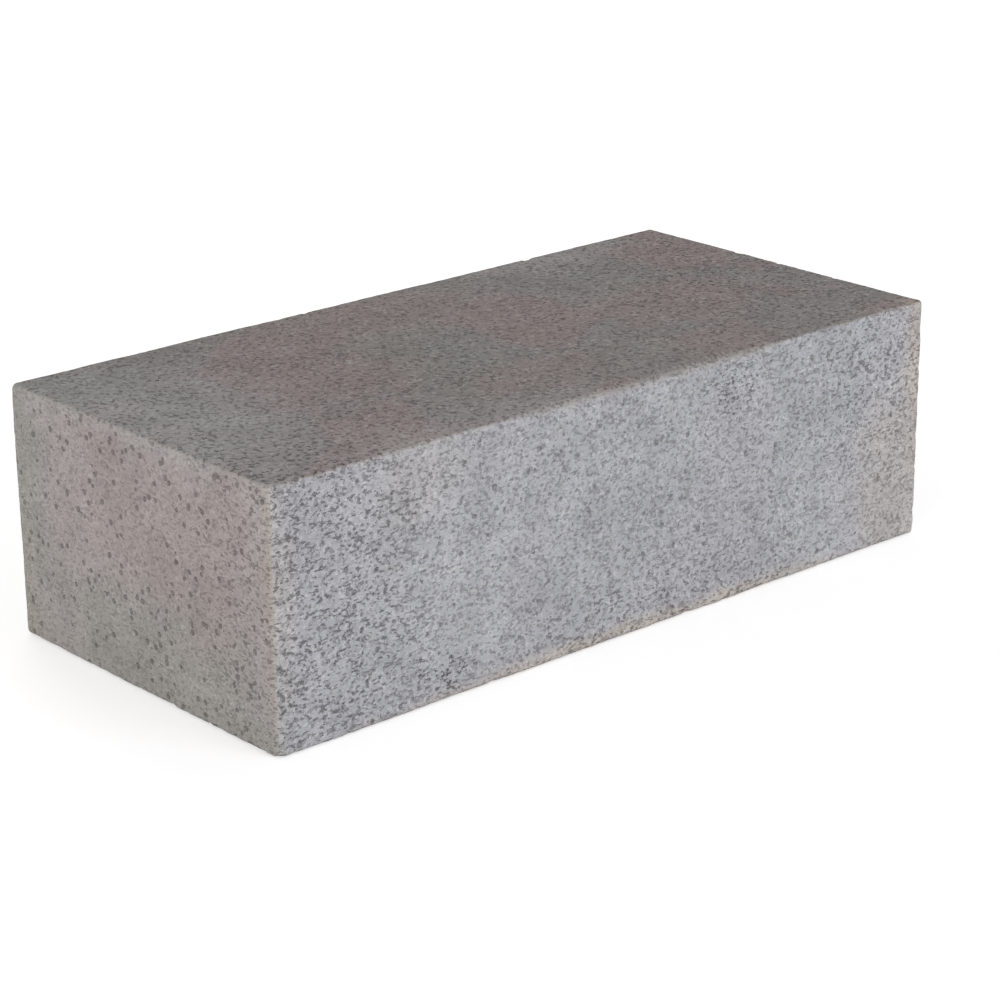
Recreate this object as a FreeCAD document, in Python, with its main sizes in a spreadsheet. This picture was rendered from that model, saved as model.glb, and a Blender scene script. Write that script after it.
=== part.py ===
# Concrete common brick: one solid block of dense concrete, cast in a steel mould and
# pressed from above. It has no frog and no perforations, only slightly eased arrises.
#
# Frame, in millimetres: origin at the middle of the bottom bed face, X along the length
# (the stretcher), Y along the width (the header), Z up through the height.

import FreeCAD
import Part
import Sketcher
import os

PARTS_FOLDER = "parts"

# The driving dimensions: alias, value in millimetres, meaning.
DIMENSIONS = [
    ("length", 215.0, "stretcher length, X"),
    ("width", 102.5, "header width, Y"),
    ("height", 65.0, "bed face to bed face, Z"),
    ("corner_radius", 1.6, "easing of the four upright arrises"),
    ("bed_radius", 1.2, "easing of the eight arrises round the bed faces"),
]

# Two edge ends closer than this are at the same place.
TOUCH = 0.01


def make_sheet(doc):
    """The spreadsheet of driving dimensions, one row each."""
    sheet = doc.addObject("Spreadsheet::Sheet", "dimensions")
    for row, (alias, value, meaning) in enumerate(DIMENSIONS, start=1):
        sheet.set(f"A{row}", meaning)
        sheet.set(f"B{row}", str(value))
        sheet.setAlias(f"B{row}", alias)
    doc.recompute()
    return sheet


def origin_plane(body, role):
    """One of the body's own origin planes, such as XY_Plane."""
    return next(f for f in body.Origin.OriginFeatures if f.Role == role)


def add_bed_outline(body, sheet):
    """The bed face: a rectangle centred on the origin, sized by the sheet."""
    sketch = body.newObject("Sketcher::SketchObject", "bed_outline")
    sketch.AttachmentSupport = [(origin_plane(body, "XY_Plane"), "")]
    sketch.MapMode = "FlatFace"

    half_x = sheet.length / 2
    half_y = sheet.width / 2
    corners = [
        FreeCAD.Vector(-half_x, -half_y, 0),
        FreeCAD.Vector(half_x, -half_y, 0),
        FreeCAD.Vector(half_x, half_y, 0),
        FreeCAD.Vector(-half_x, half_y, 0),
    ]
    sides = []
    for start, end in zip(corners, corners[1:] + corners[:1]):
        sides.append(sketch.addGeometry(Part.LineSegment(start, end), False))
    front, right, back, left = sides

    start_point, end_point = 1, 2
    for side, following in zip(sides, sides[1:] + sides[:1]):
        join = Sketcher.Constraint("Coincident", side, end_point, following, start_point)
        sketch.addConstraint(join)
    for side in (front, back):
        sketch.addConstraint(Sketcher.Constraint("Horizontal", side))
    for side in (left, right):
        sketch.addConstraint(Sketcher.Constraint("Vertical", side))

    # Opposite corners mirrored through the sketch's own origin keep the outline centred.
    root, root_point = -1, 1
    centred = Sketcher.Constraint(
        "Symmetric", front, start_point, back, start_point, root, root_point
    )
    sketch.addConstraint(centred)
    along = sketch.addConstraint(
        Sketcher.Constraint("DistanceX", front, start_point, front, end_point, 2 * half_x)
    )
    across = sketch.addConstraint(
        Sketcher.Constraint("DistanceY", right, start_point, right, end_point, 2 * half_y)
    )
    sketch.setExpression(f"Constraints[{along}]", "dimensions.length")
    sketch.setExpression(f"Constraints[{across}]", "dimensions.width")
    return sketch


def add_block(body, outline):
    """The outline raised to the brick's height."""
    block = body.newObject("PartDesign::Pad", "block")
    block.Profile = outline
    block.setExpression("Length", "dimensions.height")
    return block


def edge_names(shape, wanted):
    """The names, such as Edge3, of the edges that the test accepts."""
    return [f"Edge{n}" for n, edge in enumerate(shape.Edges, start=1) if wanted(edge)]


def is_upright(edge):
    low, high = edge.Vertexes[0].Point, edge.Vertexes[-1].Point
    return abs(low.x - high.x) < TOUCH and abs(low.y - high.y) < TOUCH


def ease_arrises(body, base, name, wanted, radius_alias):
    """A fillet over the chosen arrises, with its radius from the sheet."""
    fillet = body.newObject("PartDesign::Fillet", name)
    fillet.Base = (base, edge_names(base.Shape, wanted))
    fillet.setExpression("Radius", f"dimensions.{radius_alias}")
    return fillet


def make_brick(doc, sheet):
    body = doc.addObject("PartDesign::Body", "brick")
    body.Label = "brick"
    outline = add_bed_outline(body, sheet)
    block = add_block(body, outline)
    doc.recompute()
    upright = ease_arrises(body, block, "upright_arrises", is_upright, "corner_radius")
    doc.recompute()

    def is_on_bed(edge):
        heights = [vertex.Point.z for vertex in edge.Vertexes]
        on_bottom = all(abs(z) < TOUCH for z in heights)
        on_top = all(abs(z - sheet.height) < TOUCH for z in heights)
        return on_bottom or on_top

    ease_arrises(body, upright, "bed_arrises", is_on_bed, "bed_radius")
    return body


def check(doc, pieces):
    """Stops if an object failed to compute or a piece isn't a sound solid."""
    for obj in doc.Objects:
        if "Invalid" in obj.State or "Error" in obj.State:
            raise RuntimeError(f"{obj.Name} did not compute: {obj.State}")
    for piece in pieces:
        shape = piece.Shape
        if shape.isNull() or not shape.isValid() or len(shape.Solids) != 1:
            raise RuntimeError(f"{piece.Label} is not one valid solid")


def write_parts(pieces):
    os.makedirs(PARTS_FOLDER, exist_ok=True)
    for piece in pieces:
        piece.Shape.exportStep(os.path.join(PARTS_FOLDER, f"{piece.Label}.step"))
        box = piece.Shape.BoundBox
        litres = piece.Shape.Volume / 1e6
        print(
            f"{piece.Label}: {box.XLength:.2f} x {box.YLength:.2f} x {box.ZLength:.2f} mm,"
            f" {litres:.4f} litres, {len(piece.Shape.Faces)} faces"
        )


def main():
    doc = FreeCAD.newDocument("concrete_common_brick")
    sheet = make_sheet(doc)
    pieces = [make_brick(doc, sheet)]
    doc.recompute()
    check(doc, pieces)
    write_parts(pieces)


main()
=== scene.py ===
import itertools
import math
import random

import bpy
import numpy as np
from mathutils import Matrix, Vector, kdtree, noise


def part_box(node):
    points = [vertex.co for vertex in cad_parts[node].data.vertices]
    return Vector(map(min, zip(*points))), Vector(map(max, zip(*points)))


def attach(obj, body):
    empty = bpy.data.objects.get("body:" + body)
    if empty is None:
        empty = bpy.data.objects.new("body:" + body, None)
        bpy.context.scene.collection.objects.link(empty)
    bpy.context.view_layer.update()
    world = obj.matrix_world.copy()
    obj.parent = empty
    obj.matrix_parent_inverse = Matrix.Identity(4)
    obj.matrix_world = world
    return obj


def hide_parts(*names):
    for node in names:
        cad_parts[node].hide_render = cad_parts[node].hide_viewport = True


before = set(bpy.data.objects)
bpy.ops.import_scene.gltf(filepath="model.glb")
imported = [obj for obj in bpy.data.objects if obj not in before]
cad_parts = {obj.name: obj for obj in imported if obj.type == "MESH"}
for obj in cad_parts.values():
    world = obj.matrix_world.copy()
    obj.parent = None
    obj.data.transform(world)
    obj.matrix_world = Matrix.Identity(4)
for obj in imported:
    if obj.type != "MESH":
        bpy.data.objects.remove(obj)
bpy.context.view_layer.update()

mm = 0.001  # the scene is in metres, the settings below in millimetres
brickLow, brickHigh = (Vector(corner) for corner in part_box("brick"))
brickMiddle = (brickLow + brickHigh) / 2
brickHalf = (brickHigh - brickLow) / 2


def linear(hexColour):
    # sRGB hex to the linear red, green, blue and alpha that shaders work in
    channels = [int(hexColour[i:i + 2], 16) / 255 for i in (1, 3, 5)]
    light = [c / 12.92 if c <= 0.04045 else ((c + 0.055) / 1.055) ** 2.4 for c in channels]
    return light + [1.0]


def blend(low, high, value):
    # 0 below low, 1 above high, and a smooth step between
    t = np.clip((value - low) / (high - low), 0, 1)
    return t * t * (3 - 2 * t)


def saveField(mesh, name, values):
    # one number for each point of the mesh, for the material to read by name
    field = mesh.attributes.new(name, "FLOAT", "POINT")
    field.data.foreach_set("value", values.astype(np.float32))


def addNode(tree, kind, settings=None, inputs=None):
    # a node with its settings, and each input either linked from a socket or given a value
    node = tree.nodes.new(kind)
    for name, value in (settings or {}).items():
        setattr(node, name, value)
    for name, source in (inputs or {}).items():
        if isinstance(source, bpy.types.NodeSocket):
            tree.links.new(source, node.inputs[name])
        else:
            node.inputs[name].default_value = source
    return node


# The cast brick: a dense skin of small quads over the block, finer along the arrises
castShape = {
    "faceStep": 1.02,      # quad size in the middle of a face, mm
    "edgeStep": 0.5,       # quad size along the arrises, mm
    "edgeBand": 3.5,       # how far in from an arris the small quads go, mm
    "arrisRadius": 1.3,    # the mould's own easing of an arris, mm
    "arrisWander": 0.45,   # how much that radius comes and goes, mm
    "wanderSize": 14,      # mm along the arris over which it does
    "ragged": 0.55,        # grains lost from an arris, mm deep
    "raggedSize": 2.4,     # mm, the size of those losses
    "fineGrainSize": 1.3,  # mm, lumps of the open texture
    "bigGrainSize": 2.6,   # mm, the larger lumps among them
    "coarseGrain": 0.6,    # how much deeper the texture is where the skin is coarse
    "swellSize": 45,       # mm, the slow rise and fall of a whole face
    "pitFlare": 1.4,       # how much wider a carved pit opens than its radius
    "fullShadePitDepth": 0.8,     # mm deep, where the painted shade in a carved pit is full
    "knockFlare": 1.5,     # how far a knock reaches, in its own radii
    "knockDepth": 0.62,    # how deep it goes, in its own radii
    "knockRoughSize": 1.6, # mm, lumps of the broken concrete in a knock
    "seed": 41,
}

faceKinds = ("header", "stretcher", "bed")  # the faces square to x, y and z

# Relief of each kind of face: open texture on the stretchers, closer on the others, in mm
faceRelief = {
    "stretcher": {"grain": 0.26, "swell": 0.18, "pitsPerSquareCm": 0.45, "pitRadius": (0.6, 1.1)},
    "header": {"grain": 0.11, "swell": 0.14, "pitsPerSquareCm": 0.90, "pitRadius": (0.6, 0.95)},
    "bed": {"grain": 0.11, "swell": 0.15, "pitsPerSquareCm": 0.20, "pitRadius": (0.6, 0.9)},
}

# Knocks on the arrises: place as fractions of the half sizes from the middle, radius in mm
knocks = [
    ((-1.00, -1.00, -0.03), 1.9),
    ((-1.00, -1.00, -1.00), 1.7),
    ((-0.40, -1.00, -1.00), 1.1),
    ((0.20, -1.00, -1.00), 1.3),
    ((0.66, -1.00, -1.00), 1.0),
    ((-0.93, -1.00, 1.00), 1.2),
    ((-0.71, -1.00, 1.00), 0.9),
    ((0.97, -1.00, 1.00), 1.2),
    ((-1.00, -0.20, -1.00), 1.1),
    ((-0.25, 1.00, 1.00), 1.0),
    ((0.55, 1.00, 1.00), 1.4),
    ((1.00, 1.00, -1.00), 2.4),
    ((0.10, 1.00, -1.00), 1.6),
    ((1.00, 0.30, 1.00), 1.1),
]

# Soft patches on the skin: field, place as fractions of the half sizes, reach in mm, strength.
# coarse is open texture, dust a beige bloom, damp a greyer green, pale a dry lighter skin,
# closed a skin with fewer air holes, and pink a cloud of iron-stained sand.
patches = [
    ("coarse", (-0.95, -1.00, 0.00), (48, 30, 60), 1.0),
    ("coarse", (0.85, -1.00, 0.50), (35, 30, 30), 0.6),
    ("coarse", (0.10, -1.00, -0.90), (60, 30, 14), 0.5),
    ("coarse", (0.90, 1.00, 0.00), (50, 30, 60), 1.0),
    ("coarse", (-0.52, -1.00, -0.78), (9, 9, 6), 1.6),
    ("coarse", (0.35, -1.00, 0.72), (12, 9, 9), 1.0),
    ("coarse", (0.80, 0.20, 1.00), (46, 50, 4), 1.0),
    ("coarse", (-0.70, -0.20, -1.00), (46, 50, 4), 1.0),
    ("dust", (1.00, -1.00, -0.55), (36, 24, 34), 1.1),
    ("dust", (1.00, -1.00, 0.30), (10, 9, 44), 1.0),
    ("dust", (0.15, -1.00, -1.00), (120, 8, 4.5), 1.1),
    ("dust", (-1.00, -1.00, 0.20), (9, 4, 45), 0.4),
    ("dust", (-0.60, -1.00, 0.75), (16, 10, 14), 0.4),
    ("dust", (-1.00, 1.00, -0.50), (30, 9, 30), 0.5),
    ("dust", (-0.10, 1.00, -1.00), (90, 8, 7), 0.7),
    ("damp", (-1.00, -0.20, -1.00), (8, 60, 34), 0.9),
    ("damp", (-1.00, 1.00, 0.10), (8, 16, 60), 0.9),
    ("damp", (1.00, 0.30, -1.00), (8, 60, 30), 0.9),
    ("pale", (-0.55, -1.00, 0.20), (34, 20, 50), 1.0),
    ("pale", (0.80, -1.00, -0.60), (40, 20, 30), 1.0),
    ("pale", (0.60, 1.00, 0.20), (36, 20, 50), 1.0),
    ("pale", (-1.00, 0.00, 1.00), (48, 60, 4), 1.0),
    ("pale", (-0.50, -1.00, 1.00), (60, 14, 3), 0.6),
    ("closed", (-1.00, 0.80, 0.00), (6, 38, 50), 1.0),
    ("closed", (1.00, -0.70, 0.20), (6, 36, 50), 1.0),
    ("pink", (-0.10, 0.75, 1.00), (48, 26, 4), 0.8),
    ("pink", (-0.45, 0.05, 1.00), (34, 26, 4), 0.9),
    ("pink", (-0.10, -0.60, 1.00), (30, 16, 4), 0.7),
    ("pink", (0.55, -0.15, 1.00), (34, 24, 4), 0.9),
    ("pink", (0.40, -0.80, 1.00), (22, 16, 4), 0.8),
    ("pink", (-1.00, -0.15, 0.30), (6, 44, 26), 0.8),
    ("pink", (1.00, 0.20, 0.25), (6, 40, 26), 0.7),
    ("pink", (0.20, 0.10, -1.00), (70, 36, 4), 0.7),
]

# The stretch of the top front arris that is worn rounder, in mm, from the middle of the length
wornArris = {
    "low": -26,
    "high": 44,
    "extraRadius": 2.4,
    "fadeOutside": 15,  # how far beyond low and high the wear begins
    "fadeInside": 5,    # and how far within them it is full
    "fullWithin": 4,    # distance from the arris where the wear is full
    "goneBy": 9,        # and where it has ended
}


def gridLines(low, high):
    # places of the grid lines along one axis: small steps at both ends
    band, edgeStep, faceStep = (castShape[key] * mm for key in ("edgeBand", "edgeStep", "faceStep"))
    edgeCount = round(band / edgeStep)
    middleCount = round((high - low - 2 * band) / faceStep)
    start = np.linspace(low, low + band, edgeCount + 1)
    middle = np.linspace(low + band, high - band, middleCount + 1)
    end = np.linspace(high - band, high, edgeCount + 1)
    return np.concatenate([start, middle[1:-1], end])


def boxSkin():
    # the points and quads of a closed box, gridded on all six faces
    lines = [gridLines(brickLow[axis], brickHigh[axis]) for axis in range(3)]
    last = [len(line) - 1 for line in lines]
    index, points, quads = {}, [], []

    def pointAt(key):
        if key not in index:
            index[key] = len(points)
            points.append([lines[axis][key[axis]] for axis in range(3)])
        return index[key]

    for axis in range(3):
        across, up = (axis + 1) % 3, (axis + 2) % 3
        for side in (0, last[axis]):
            for a, b in itertools.product(range(last[across]), range(last[up])):
                quad = []
                for stepA, stepB in ((0, 0), (1, 0), (1, 1), (0, 1)):
                    key = [0, 0, 0]
                    key[axis], key[across], key[up] = side, a + stepA, b + stepB
                    quad.append(pointAt(tuple(key)))
                quads.append(quad if side else quad[::-1])
    return np.array(points), quads


def noiseField(points, size, shift=0.0):
    # smooth noise from -1 to 1 with lumps of the given size in mm
    scale = 1 / (size * mm)
    offset = Vector((shift, shift * 1.7, shift * 0.6))
    return np.array([noise.noise(Vector(point) * scale + offset) for point in points])


def easedArrises(points):
    # rolls the corners of the box over a radius that wanders, and gives the outward direction
    x, y, z = ((points[:, axis] - brickMiddle[axis]) / mm for axis in range(3))
    low, high = wornArris["low"], wornArris["high"]
    outside, inside = wornArris["fadeOutside"], wornArris["fadeInside"]
    along = blend(low - outside, low + inside, x) * blend(high + outside, high - inside, x)
    fromArris = np.hypot(y + brickHalf.y / mm, z - brickHalf.z / mm)
    worn = along * blend(wornArris["goneBy"], wornArris["fullWithin"], fromArris)
    wander = castShape["arrisWander"] * noiseField(points, castShape["wanderSize"], 3.0)
    radius = (castShape["arrisRadius"] + wander + wornArris["extraRadius"] * worn) * mm
    lowest = np.array(brickLow) + radius[:, None]
    highest = np.array(brickHigh) - radius[:, None]
    inner = np.clip(points, lowest, highest)
    outward = points - inner
    outward /= np.linalg.norm(outward, axis=1)[:, None]
    return inner + outward * radius[:, None], outward


def spotAt(place):
    # a place on the brick, from fractions of its half sizes
    return Vector([brickMiddle[axis] + place[axis] * brickHalf[axis] for axis in range(3)])


def patchField(points, name):
    # the strongest of the soft patches of one field, with edges broken up by noise
    strongest = np.zeros(len(points))
    unevenEdge = 0.25 * noiseField(points, 9, 6.0)
    for field, place, reach, strength in patches:
        if field == name:
            offset = (points - np.array(spotAt(place))) / (np.array(reach) * mm)
            away = np.linalg.norm(offset, axis=1)
            strongest = np.maximum(strongest, strength * blend(1.15, 0.35, away + unevenEdge))
    return strongest


def carvePits(points, outward, tree, rng):
    # shallow round holes left by air and lost grains, scattered by face area
    pitDepth = np.zeros(len(points))
    for axis, kind in enumerate(faceKinds):
        relief = faceRelief[kind]
        across, up = (axis + 1) % 3, (axis + 2) % 3
        squareCm = 4 * brickHalf[across] * brickHalf[up] / (10 * mm) ** 2
        for side in (-1, 1):
            for _ in range(round(squareCm * relief["pitsPerSquareCm"])):
                spot = brickMiddle.copy()
                spot[axis] += side * brickHalf[axis]
                spot[across] += rng.uniform(-1, 1) * brickHalf[across]
                spot[up] += rng.uniform(-1, 1) * brickHalf[up]
                least, most = relief["pitRadius"]
                radius = (least + (most - least) * rng.random() ** 2) * mm
                depth = radius * rng.uniform(0.35, 0.7)
                rim = radius * castShape["pitFlare"]
                for _, number, distance in tree.find_range(spot, rim):
                    fall = depth * max(0.0, 1 - (distance / rim) ** 2) ** 1.5
                    pitDepth[number] = max(pitDepth[number], fall)
    return points - outward * pitDepth[:, None], pitDepth


def knockCorners(points, tree):
    # broken arrises: points near a knock are pushed in, deepest at its middle
    rough = noiseField(points, castShape["knockRoughSize"], 8.0)
    for place, radius in knocks:
        # straight in from the faces that meet there
        inwards = np.array(Vector([-side if abs(side) == 1 else 0 for side in place]).normalized())
        for _, number, distance in tree.find_range(spotAt(place), radius * 2 * mm):
            ownRadius = radius * mm * (1 + 0.3 * rough[number])
            edge = ownRadius * castShape["knockFlare"]
            if distance < edge:
                push = ownRadius * castShape["knockDepth"] * (1 - distance / edge)
                points[number] += inwards * push
    return points


def makeCastBrick():
    rng = random.Random(castShape["seed"])
    flat, quads = boxSkin()
    points, outward = easedArrises(flat)
    shares = outward ** 2  # how much a point belongs to each of the kinds of face
    arris = 1 - shares.max(axis=1)

    coarse = patchField(flat, "coarse")
    grainDepth, swellDepth = (
        shares @ np.array([faceRelief[kind][name] for kind in faceKinds])
        for name in ("grain", "swell"))
    fineGrain = noiseField(points, castShape["fineGrainSize"], 1.0)
    bigGrain = noiseField(points, castShape["bigGrainSize"], 5.0)
    grain = (0.5 - 0.48 * fineGrain - 0.32 * bigGrain) * (1 + castShape["coarseGrain"] * coarse)
    swell = 0.5 - 0.5 * noiseField(points, castShape["swellSize"], 2.0)
    lost = blend(0.1, 0.6, noiseField(points, castShape["raggedSize"], 11.0))
    ragged = castShape["ragged"] * lost * blend(0.05, 0.4, arris)
    inward = np.clip(grain * grainDepth + swell * swellDepth + ragged, 0, None) * mm
    points = points - outward * inward[:, None]

    tree = kdtree.KDTree(len(points))
    for number, point in enumerate(points):
        tree.insert(point, number)
    tree.balance()
    points, pitDepth = carvePits(points, outward, tree, rng)
    points = knockCorners(points, tree)

    mesh = bpy.data.meshes.new("castBrick")
    mesh.from_pydata(points.tolist(), [], quads)
    mesh.polygons.foreach_set("use_smooth", [True] * len(quads))
    saveField(mesh, "arris", np.clip(arris * 2, 0, 1))
    # pit depth, scaled to where the painted shade in a carved pit is full
    saveField(mesh, "pitDepth", np.clip(pitDepth / (castShape["fullShadePitDepth"] * mm), 0, 1))
    saveTones(mesh, flat, shares, coarse)
    mesh.validate()
    mesh.update()
    brick = bpy.data.objects.new("castBrick", mesh)
    bpy.context.collection.objects.link(brick)
    return brick


def saveTones(mesh, flat, shares, coarse):
    # the fields that say where each tone of the concrete shows, and how open the texture is
    header = blend(0.25, 0.75, shares[:, 0])
    bed = blend(0.25, 0.75, shares[:, 2])
    onFaces = np.stack([1 - header - bed, header, bed], axis=1)
    strength = {name: onFaces @ np.array(values) for name, values in faceStrength.items()}
    cloud = noiseField(flat, castConcrete["hueSize"], 4.0)
    cloud += 0.4 * noiseField(flat, castConcrete["fineHueSize"], 9.0)
    # header and bed: where the end's and the top's tones show, partly painted light and shade on
    # those faces
    saveField(mesh, "header", header)
    saveField(mesh, "bed", bed)
    pink = np.maximum(blend(0.05, 0.4, cloud), patchField(flat, "pink"))
    saveField(mesh, "pink", strength["pink"] * pink)
    green = blend(-0.05, -0.4, cloud) * (1 - np.clip(pink, 0, 1))
    saveField(mesh, "green", strength["green"] * green)
    for name in ("dust", "damp", "pale"):
        saveField(mesh, name, strength[name] * patchField(flat, name))
    saveField(mesh, "sand", strength["sand"])
    closed = strength["closed"] * patchField(flat, "closed")
    saveField(mesh, "holeRarity", strength["holeRarity"] + closed)
    saveField(mesh, "crevice", strength["crevice"] + strength["coarseCrevice"] * coarse)


# Dense aggregate concrete, cast in a steel mould: dull grey cement paste, sand that shows as fine
# light and dark grains, small air holes, crevices and pits with painted shade in them, and a
# slightly dusty lighter skin on the arrises
castConcrete = {
    "stretcherTone": "#b4b4b8",
    "lightSand": "#d0cfcc",
    "lightSandLuck": 0.66,   # only grains luckier than this, from 0 to 1, are light
    "lightSandShows": 0.48,
    "darkSand": "#6a6767",
    "darkSandLuck": 0.62,
    "darkSandShows": 0.50,
    # painted shade in the recesses: the dark tone that crevices, air holes and carved pits go
    # toward, and how far each goes
    "recessShadeTone": "#3f3b39",
    "creviceShadeStrength": 0.57,
    "holeShadeStrength": 0.43,
    "pitShadeStrength": 0.60,
    "arrisTone": "#b3aea8",
    "sandSize": 0.8,         # mm, drawn at the coarse end of building sand so that it shows
    "siltSize": 0.7,         # mm, drawn coarser than real silt so that it shows
    "creviceSize": 1.2,      # mm, gaps between grains where the paste did not close
    "creviceFlatness": 1.9,  # how much longer than high a crevice is, from the pressing
    "holeSpacing": 2.1,      # mm between small air holes, counted through the depth too
    "largestHole": 0.35,     # radius of the largest, in spacings
    "unevenness": 0.7,       # mm that the outlines of grains and holes wander
    "unevenSize": 1.4,       # mm, the size of that wandering
    "shadeSize": 13,         # mm, light and dark clouds
    "shadeContrast": 0.07,
    "siltContrast": 0.12,
    "hueSize": 42,           # mm, pink and green clouds
    "fineHueSize": 17,       # mm, the smaller clouds that break up their edges
    "bumpHeight": 0.4,       # mm, the relief too fine for the mesh
    "bumpStrength": 0.8,
    "siltRise": 0.8,         # heights and depths in that relief, where a grain of sand is up to 1
    "creviceRise": -2.0,
    "holeRise": -2.6,
    "roughness": (0.85, 0.97),  # dull, as open cement paste is
    "indexOfRefraction": 1.5,
}

# Tones laid over the stretcher's, in this order, each where the skin's field of that name is strong
# the header and bed tones are partly painted light and shade on the end and the top
castTones = {
    "header": "#b1aaa9",     # a little warmer and darker than the stretcher: partly the end's own tone, partly painted warm light and shade on the end
    "bed": "#86817e",        # darker and browner: partly the pressed top's cement-rich skin, partly painted shade on the top
    "pink": "#957f7b",       # iron in the sand
    "green": "#85877f",      # cement-rich paste
    "dust": "#c8b9a8",       # dry beige bloom
    "damp": "#9b9c95",       # damp paste, greyer green
    "pale": "#bcbcbe",       # lime bloom
}

# How strongly things show on a stretcher, a header and a bed
faceStrength = {
    "pink": (0.06, 0.25, 0.45),
    "green": (0.08, 0.25, 0.35),
    "dust": (0.55, 0.55, 0.55),
    "damp": (0.60, 0.60, 0.60),
    "pale": (0.45, 0.30, 0.32),
    "sand": (1.00, 0.50, 0.50),
    "crevice": (0.46, 0.36, 1.00),
    "coarseCrevice": (0.55, 0.25, 0.40),
    "holeRarity": (0.84, 0.20, 0.62),
    "closed": (0.10, 0.40, 0.20),
}


def makeCastConcrete():
    concrete = castConcrete
    material = bpy.data.materials.new("castConcrete")
    material.use_nodes = True
    tree = material.node_tree
    tree.nodes.clear()
    smooth = {"interpolation_type": "SMOOTHSTEP"}
    multiply = {"operation": "MULTIPLY"}
    layer = {"data_type": "RGBA"}
    amount, under, over, layered = 0, 6, 7, 2  # the colour sockets of a Mix node
    field = {}
    for name in [*castTones, "sand", "crevice", "holeRarity", "arris", "pitDepth"]:
        node = addNode(tree, "ShaderNodeAttribute", {"attribute_name": name})
        field[name] = node.outputs["Fac"]

    # places: as they are, uneven for the outlines of grains, and drawn flat for crevices.
    # A pattern's scale is how many of its cells fit in a metre.
    where = addNode(tree, "ShaderNodeTexCoord").outputs["Object"]
    wobble = addNode(tree, "ShaderNodeTexNoise", {}, {
        "Vector": where, "Scale": 1000 / concrete["unevenSize"], "Detail": 1.0})
    uneven = addNode(tree, "ShaderNodeVectorMath", {"operation": "MULTIPLY_ADD"}, {
        0: wobble.outputs["Color"], 1: [concrete["unevenness"] * mm] * 3, 2: where})
    flattened = addNode(tree, "ShaderNodeVectorMath", multiply, {
        0: where, 1: (1, 1, concrete["creviceFlatness"])})

    # paste: one tone over another, the header and bed tones partly painted light and shade on those
    # faces
    surface = linear(concrete["stretcherTone"])
    for name, tone in castTones.items():
        surface = addNode(tree, "ShaderNodeMix", layer, {
            amount: field[name], under: surface, over: linear(tone)}).outputs[layered]

    # sand: each cell of the pattern is one grain, with its own shade and height
    grains = addNode(tree, "ShaderNodeTexVoronoi", {}, {
        "Vector": uneven.outputs["Vector"], "Scale": 1000 / concrete["sandSize"]})
    grain = addNode(tree, "ShaderNodeSeparateColor", {}, {"Color": grains.outputs["Color"]})
    for luck, sand in (("Red", "lightSand"), ("Green", "darkSand")):
        picked = addNode(tree, "ShaderNodeMapRange", smooth, {
            "Value": grain.outputs[luck], "From Min": concrete[sand + "Luck"],
            "To Max": concrete[sand + "Shows"]})
        shown = addNode(tree, "ShaderNodeMath", multiply, {
            0: picked.outputs["Result"], 1: field["sand"]})
        surface = addNode(tree, "ShaderNodeMix", layer, {
            amount: shown.outputs["Value"], under: surface,
            over: linear(concrete[sand])}).outputs[layered]

    # silt and slow shading, multiplied in
    silt = addNode(tree, "ShaderNodeTexNoise", {}, {
        "Vector": flattened.outputs["Vector"], "Scale": 1000 / concrete["siltSize"],
        "Detail": 2.0, "Roughness": 0.7}).outputs["Fac"]
    slow = addNode(tree, "ShaderNodeTexNoise", {}, {
        "Vector": where, "Scale": 1000 / concrete["shadeSize"], "Detail": 3.0}).outputs["Fac"]
    siltShade = addNode(tree, "ShaderNodeMapRange", smooth, {
        "Value": silt, "From Min": 0.25, "From Max": 0.75,
        "To Min": 1 - concrete["siltContrast"], "To Max": 1 + concrete["siltContrast"]})
    slowShade = addNode(tree, "ShaderNodeMapRange", smooth, {
        "Value": slow, "From Min": 0.3, "From Max": 0.7,
        "To Min": 1 - concrete["shadeContrast"], "To Max": 1 + concrete["shadeContrast"]})
    shade = addNode(tree, "ShaderNodeMath", multiply, {
        0: siltShade.outputs["Result"], 1: slowShade.outputs["Result"]}).outputs["Value"]
    grey = addNode(tree, "ShaderNodeCombineColor", {}, {
        "Red": shade, "Green": shade, "Blue": shade})
    surface = addNode(tree, "ShaderNodeMix", {"data_type": "RGBA", "blend_type": "MULTIPLY"}, {
        amount: 1.0, under: surface, over: grey.outputs["Color"]}).outputs[layered]

    # crevices between grains, most where the face is coarse
    gaps = addNode(tree, "ShaderNodeTexNoise", {}, {
        "Vector": flattened.outputs["Vector"], "Scale": 1000 / concrete["creviceSize"],
        "Detail": 2.0, "Roughness": 0.6})
    gap = addNode(tree, "ShaderNodeMapRange", smooth, {
        "Value": gaps.outputs["Fac"], "From Min": 0.46, "From Max": 0.30})
    crevice = addNode(tree, "ShaderNodeMath", multiply, {
        0: gap.outputs["Result"], 1: field["crevice"]}).outputs["Value"]

    # air holes: a dot in some of the cells, each with its own size
    cells = addNode(tree, "ShaderNodeTexVoronoi", {}, {
        "Vector": uneven.outputs["Vector"], "Scale": 1000 / concrete["holeSpacing"]})
    luck = addNode(tree, "ShaderNodeSeparateColor", {}, {"Color": cells.outputs["Color"]})
    holeSize = addNode(tree, "ShaderNodeMapRange", smooth, {
        "Value": luck.outputs["Red"], "From Min": field["holeRarity"],
        "To Min": 0.001, "To Max": concrete["largestHole"]})  # never 0, as it divides below
    reach = addNode(tree, "ShaderNodeMath", {"operation": "DIVIDE"}, {
        0: cells.outputs["Distance"], 1: holeSize.outputs["Result"]})
    hole = addNode(tree, "ShaderNodeMapRange", smooth, {
        "Value": reach.outputs["Value"], "From Min": 1.15, "From Max": 0.5}).outputs["Result"]

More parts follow.
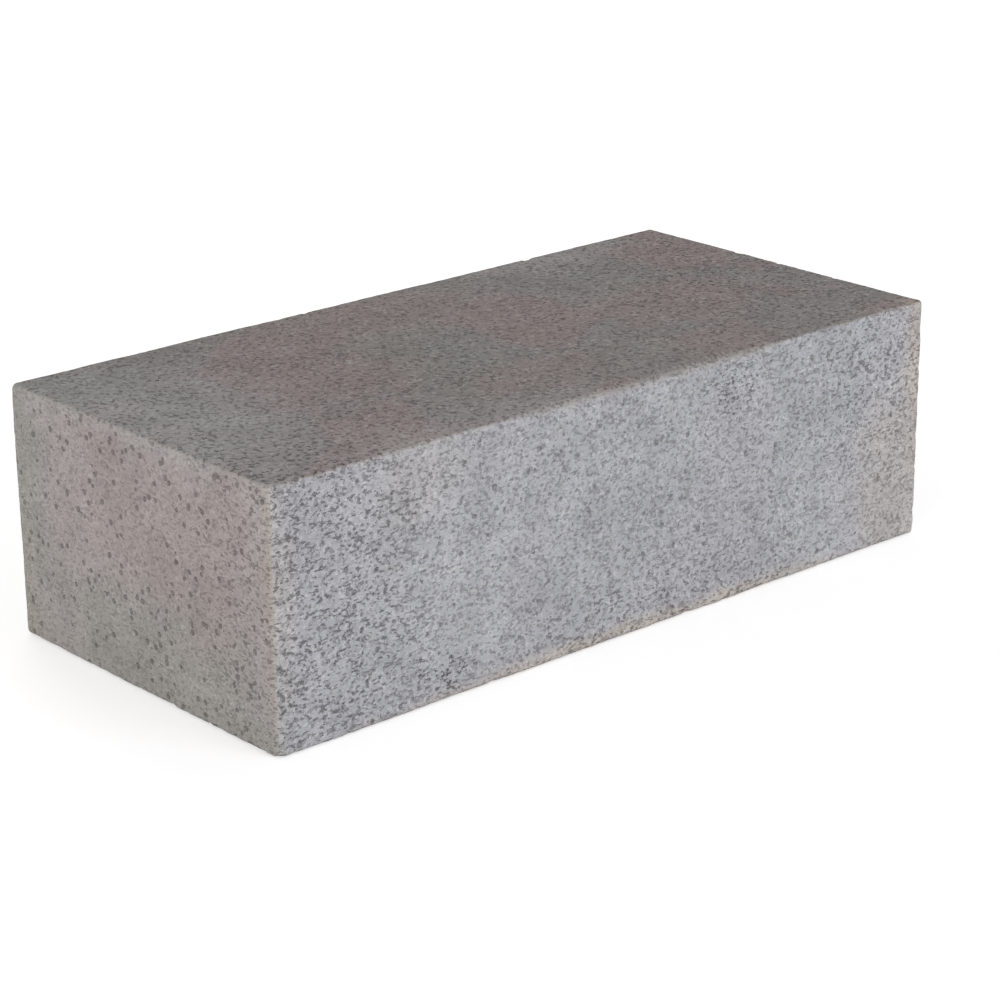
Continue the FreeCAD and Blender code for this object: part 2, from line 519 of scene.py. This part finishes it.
    # painted shade in the recesses: the strongest of crevice, air hole and carved pit, toward one
    # dark tone
    dark = addNode(tree, "ShaderNodeMapRange", smooth, {
        "Value": field["pitDepth"], "From Min": 0.1, "From Max": 0.9,
        "To Max": concrete["pitShadeStrength"]}).outputs["Result"]
    for depth, darkness in ((crevice, "creviceShadeStrength"), (hole, "holeShadeStrength")):
        recessShadePart = addNode(tree, "ShaderNodeMath", multiply, {0: depth, 1: concrete[darkness]})
        dark = addNode(tree, "ShaderNodeMath", {"operation": "MAXIMUM"}, {
            0: dark, 1: recessShadePart.outputs["Value"]}).outputs["Value"]
    surface = addNode(tree, "ShaderNodeMix", layer, {
        amount: dark, under: surface, over: linear(concrete["recessShadeTone"])}).outputs[layered]

    # arrises: rubbed, drier and a little lighter
    rubbed = addNode(tree, "ShaderNodeMapRange", smooth, {
        "Value": field["arris"], "From Min": 0.1, "From Max": 0.9})
    broken = addNode(tree, "ShaderNodeMapRange", smooth, {
        "Value": silt, "From Min": 0.35, "From Max": 0.6, "To Min": 0.25, "To Max": 0.7})
    worn = addNode(tree, "ShaderNodeMath", multiply, {
        0: rubbed.outputs["Result"], 1: broken.outputs["Result"]})
    surface = addNode(tree, "ShaderNodeMix", layer, {
        amount: worn.outputs["Value"], under: surface,
        over: linear(concrete["arrisTone"])}).outputs[layered]

    # fine relief: grains and silt stand up, crevices and holes go down
    height = addNode(tree, "ShaderNodeMath", multiply, {
        0: grain.outputs["Blue"], 1: field["sand"]}).outputs["Value"]
    for relief, rise in ((silt, "siltRise"), (crevice, "creviceRise"), (hole, "holeRise")):
        height = addNode(tree, "ShaderNodeMath", {"operation": "MULTIPLY_ADD"}, {
            0: relief, 1: concrete[rise], 2: height}).outputs["Value"]
    bump = addNode(tree, "ShaderNodeBump", {}, {
        "Height": height, "Strength": concrete["bumpStrength"],
        "Distance": concrete["bumpHeight"] * mm})
    smoothest, dullest = concrete["roughness"]
    dullness = addNode(tree, "ShaderNodeMapRange", smooth, {
        "Value": silt, "From Min": 0.3, "From Max": 0.7, "To Min": smoothest, "To Max": dullest})

    shader = addNode(tree, "ShaderNodeBsdfPrincipled", {}, {
        "Base Color": surface, "Roughness": dullness.outputs["Result"],
        "IOR": concrete["indexOfRefraction"], "Normal": bump.outputs["Normal"]})
    addNode(tree, "ShaderNodeOutputMaterial", {}, {"Surface": shader.outputs["BSDF"]})
    return material


studio = {
    "floorTone": "#f0f0f0",
    "floorSize": 6.0,       # m
    "nearLift": 0.48,       # how much whiter the floor is seen than lit, by the brick
    "farLift": 0.68,        # and far from it, where it meets the background
    "liftReach": (0.25, 1.6),  # m from the middle, where near ends and where far begins
    "skyStrength": 0.42,
    "lamps": {
        # name: place in m, size in m, watts, colour
        "frontPanel": ((0.35, -1.5, 0.42), 0.9, 11.0, "#f4f7ff"),
        "leftPanel": ((-1.5, -0.45, 0.40), 0.9, 10.0, "#fffaf6"),
        "backPanel": ((0.7, 1.5, 0.8), 1.0, 8.0, "#ffffff"),
    },
}


def seeingRays(tree):
    # 1 for the rays that show the background itself: straight to the camera, mirrored or through
    path = addNode(tree, "ShaderNodeLightPath")
    seen = path.outputs["Is Camera Ray"]
    for name in ("Is Glossy Ray", "Is Transmission Ray"):
        seen = addNode(tree, "ShaderNodeMath", {"operation": "ADD", "use_clamp": True}, {
            0: seen, 1: path.outputs[name]}).outputs["Value"]
    return seen


def makeFloor():
    size = studio["floorSize"] / 2
    mesh = bpy.data.meshes.new("studioFloor")
    corners = [(-size, -size), (size, -size), (size, size), (-size, size)]
    mesh.from_pydata([(x, y, brickLow.z) for x, y in corners], [], [(0, 1, 2, 3)])
    floor = bpy.data.objects.new("studioFloor", mesh)
    bpy.context.collection.objects.link(floor)

    material = bpy.data.materials.new("paleFloor")
    material.use_nodes = True
    tree = material.node_tree
    tree.nodes.clear()
    paint = addNode(tree, "ShaderNodeBsdfDiffuse", {}, {"Color": linear(studio["floorTone"])})
    where = addNode(tree, "ShaderNodeTexCoord").outputs["Object"]
    away = addNode(tree, "ShaderNodeVectorMath", {"operation": "LENGTH"}, {0: where})
    near, far = studio["liftReach"]
    rise = addNode(tree, "ShaderNodeMapRange", {"interpolation_type": "SMOOTHSTEP"}, {
        "Value": away.outputs["Value"], "From Min": near, "From Max": far,
        "To Min": studio["nearLift"], "To Max": studio["farLift"]})
    lift = addNode(tree, "ShaderNodeMath", {"operation": "MULTIPLY"}, {
        0: seeingRays(tree), 1: rise.outputs["Result"]})
    glow = addNode(tree, "ShaderNodeEmission", {}, {
        "Color": linear("#ffffff"), "Strength": lift.outputs["Value"]})
    both = addNode(tree, "ShaderNodeAddShader", {}, {
        0: paint.outputs["BSDF"], 1: glow.outputs["Emission"]})
    addNode(tree, "ShaderNodeOutputMaterial", {}, {"Surface": both.outputs["Shader"]})
    mesh.materials.append(material)
    return floor


def makeSky():
    world = bpy.data.worlds.new("softSky")
    bpy.context.scene.world = world
    world.use_nodes = True
    tree = world.node_tree
    tree.nodes.clear()
    light, white = (addNode(tree, "ShaderNodeBackground", {}, {
        "Color": linear("#ffffff"), "Strength": strength})
        for strength in (studio["skyStrength"], 1.0))
    choice = addNode(tree, "ShaderNodeMixShader", {}, {
        0: seeingRays(tree), 1: light.outputs["Background"], 2: white.outputs["Background"]})
    addNode(tree, "ShaderNodeOutputWorld", {}, {"Surface": choice.outputs["Shader"]})


def makeLamps():
    for name, (place, size, watts, colour) in studio["lamps"].items():
        data = bpy.data.lights.new(name, "AREA")
        data.shape = "SQUARE"
        data.size = size
        data.energy = watts
        data.color = linear(colour)[:3]
        lamp = bpy.data.objects.new(name, data)
        lamp.location = place
        lamp.rotation_euler = (brickMiddle - Vector(place)).to_track_quat("-Z", "Y").to_euler()
        lamp.visible_camera = False
        bpy.context.collection.objects.link(lamp)


viewer = {
    "heading": 41.4,     # degrees round from square on to the front stretcher
    "dip": 19.8,         # degrees down
    "tilt": -0.5,        # degrees of roll
    "distance": 0.680,   # m from the aim
    "aim": (66.6, 0.0, 45.7),  # mm from the brick's low front left corner
    "lens": 105.6,       # mm
    "sensorWidth": 36,   # mm
}


def makeCamera():
    heading, dip, tilt = (math.radians(viewer[key]) for key in ("heading", "dip", "tilt"))
    flat = math.cos(dip)
    forward = Vector((math.sin(heading) * flat, math.cos(heading) * flat, -math.sin(dip)))
    right = forward.cross(Vector((0, 0, 1))).normalized()
    up = right.cross(forward)
    rolledRight = math.cos(tilt) * right + math.sin(tilt) * up
    rolledUp = -math.sin(tilt) * right + math.cos(tilt) * up
    aim = brickLow + Vector(viewer["aim"]) * mm
    place = aim - forward * viewer["distance"]
    turn = Matrix((rolledRight, rolledUp, -forward)).transposed().to_4x4()
    data = bpy.data.cameras.new("viewer")
    data.sensor_width = viewer["sensorWidth"]
    data.lens = viewer["lens"]
    data.clip_start = 0.01
    camera = bpy.data.objects.new("viewer", data)
    camera.matrix_world = Matrix.Translation(place) @ turn
    bpy.context.collection.objects.link(camera)
    bpy.context.scene.camera = camera


makeCamera()
print("camera set")
brick = makeCastBrick()
print("brick skin:", len(brick.data.polygons), "quads")
brick.data.materials.append(makeCastConcrete())
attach(brick, "root")
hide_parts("brick")
print("concrete on")
makeFloor()
makeSky()
makeLamps()
bpy.context.scene.view_settings.view_transform = "Standard"
print("studio lit")
